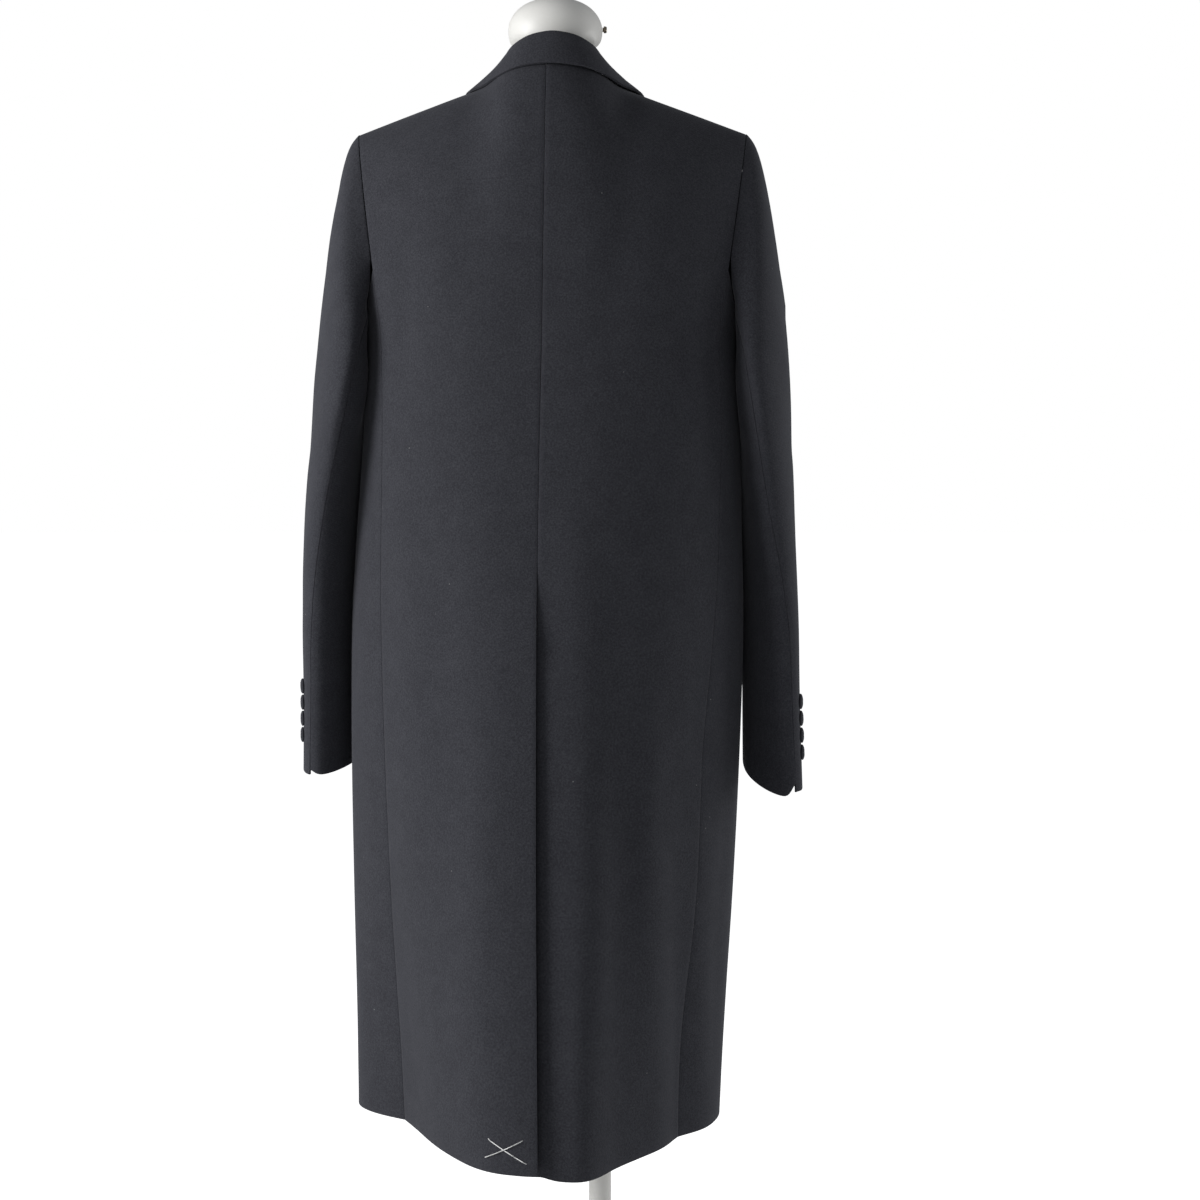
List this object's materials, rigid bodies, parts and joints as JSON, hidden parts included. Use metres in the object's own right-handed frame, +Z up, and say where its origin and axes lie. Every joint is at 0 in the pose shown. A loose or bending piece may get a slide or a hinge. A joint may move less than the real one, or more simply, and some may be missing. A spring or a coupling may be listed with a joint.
{
  "type": "chesterfield coat on a limbless dress form",
  "caption": "Dark wool knee-length coat with notched lapels, side panels and a centre back vent, standing on a white dress form with a pole and a round foot.",
  "frame": {"origin": "middle of the foot plate's underside, on the floor", "axes": "+Z up, -Y out of the coat's front, +X to the wearer's left"},
  "size_m": [0.5266, 0.3986, 1.52],
  "materials": {
    "wool": "fine twill wool with a short nap",
    "covered_button": "cloth covered",
    "form_shell": "smooth satin",
    "knob_metal": "polished",
    "stand_paint": "satin paint"
  },
  "bodies": {
    "root": {"back_left": "wool", "back_right": "wool", "vent_underlap": "wool", "side_left": "wool", "side_right": "wool", "front_left": "wool", "front_right": "wool", "lapel_left": "wool", "lapel_right": "wool", "collar": "wool", "sleeve_top_left": "wool", "sleeve_under_left": "wool", "sleeve_top_right": "wool", "sleeve_under_right": "wool", "pocket_flap_left": "wool", "pocket_flap_right": "wool", "cuff_button_left_1": "covered_button", "cuff_button_left_2": "covered_button", "cuff_button_left_3": "covered_button", "cuff_button_left_4": "covered_button", "cuff_button_right_1": "covered_button", "cuff_button_right_2": "covered_button", "cuff_button_right_3": "covered_button", "cuff_button_right_4": "covered_button", "front_button_1": "covered_button", "front_button_2": "covered_button", "front_button_3": "covered_button", "form_torso": "form_shell", "form_neck_cap": "form_shell", "neck_knob": "knob_metal", "pole": "stand_paint", "foot_plate": "stand_paint"}
  },
  "joints": []
}
